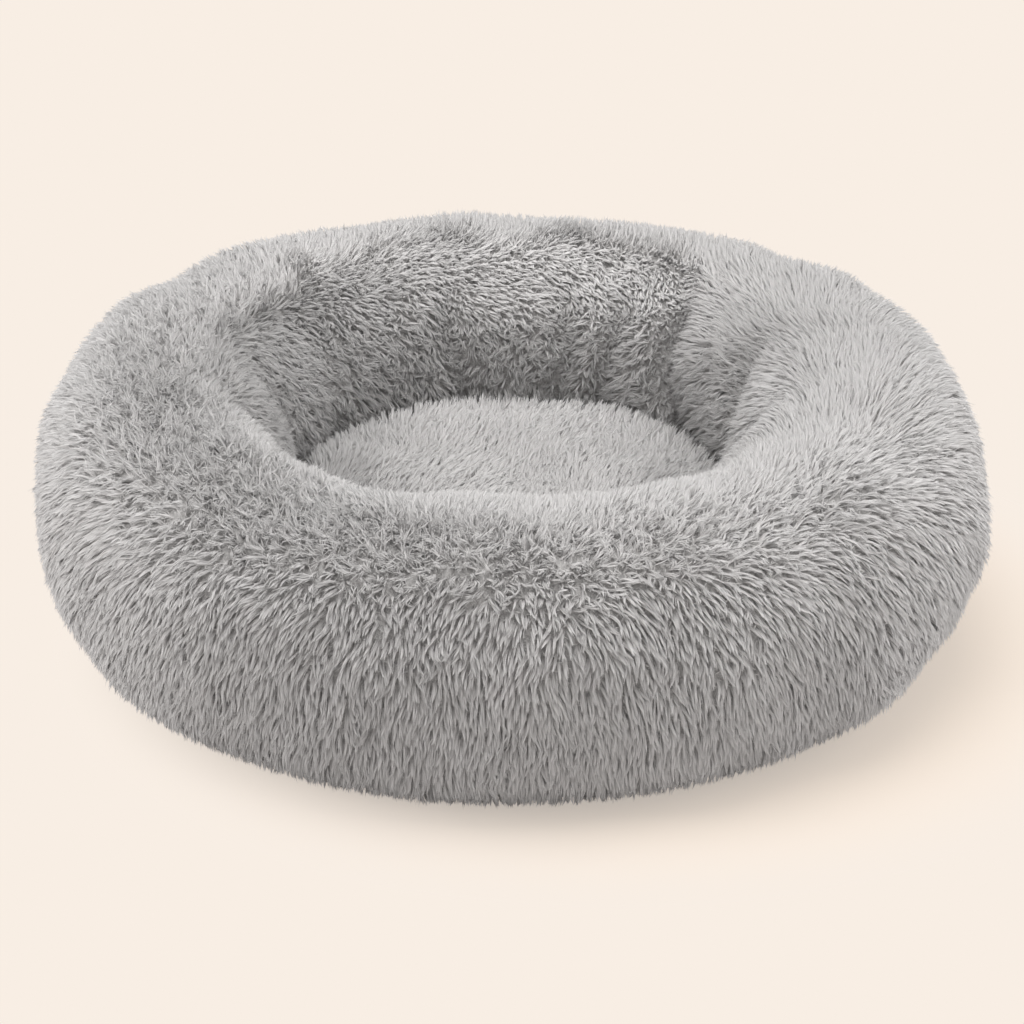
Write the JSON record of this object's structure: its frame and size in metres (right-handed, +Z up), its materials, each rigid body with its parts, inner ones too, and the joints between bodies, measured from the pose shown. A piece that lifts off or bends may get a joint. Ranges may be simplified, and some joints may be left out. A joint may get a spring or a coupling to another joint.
{
  "type": "donut pet bed",
  "caption": "Round plush donut bed for a small pet: a fat stuffed ring round a crowned soft pad, with a zipped non-slip base.",
  "frame": {"origin": "middle of the base, on the floor", "axes": "+Z up out of the nest; the zip runs along X behind the middle, at +Y; the picture looks along +Y"},
  "size_m": [0.5965, 0.5955, 0.1975],
  "materials": {
    "ring_plush": "long-pile plush, light grey",
    "pad_plush": "long-pile plush, paler grey",
    "base_cloth": "matte dotted oxford cloth",
    "binding": "matte woven tape",
    "liner": "matte non-woven",
    "fibre": "matte fibre fill",
    "zip_tape": "matte woven zip tape",
    "zip_coil": "satin",
    "zip_metal": "satin"
  },
  "bodies": {
    "bed": {"base_front": "base_cloth", "base_rear": "base_cloth", "zip_patch_left": "base_cloth", "zip_patch_right": "base_cloth", "base_edge_binding": "binding", "seam_binding": "binding", "ring_cover": "ring_plush", "pad_cover": "pad_plush", "ring_liner": "liner", "pad_liner": "liner", "ring_filling": "fibre", "pad_filling": "fibre", "zip_tape_front": "zip_tape", "zip_tape_rear": "zip_tape", "zip_chain_front": "zip_coil", "zip_chain_rear": "zip_coil", "zip_top_stop_front": "zip_metal", "zip_top_stop_rear": "zip_metal", "zip_bottom_stop": "zip_metal"},
    "slider": {"zip_slider": "zip_metal"},
    "pull": {"zip_pull": "zip_metal"}
  },
  "joints": [
    {"name": "zip_slide", "type": "slide", "parent": "bed", "child": "slider", "axis": [-1, 0, 0], "range_m": [0, 0.319]},
    {"name": "pull_swing", "type": "hinge", "parent": "slider", "child": "pull", "pos_m": [0.1665, 0.08, 0.0032], "axis": [0, -1, 0], "range_deg": [0, 150]}
  ]
}
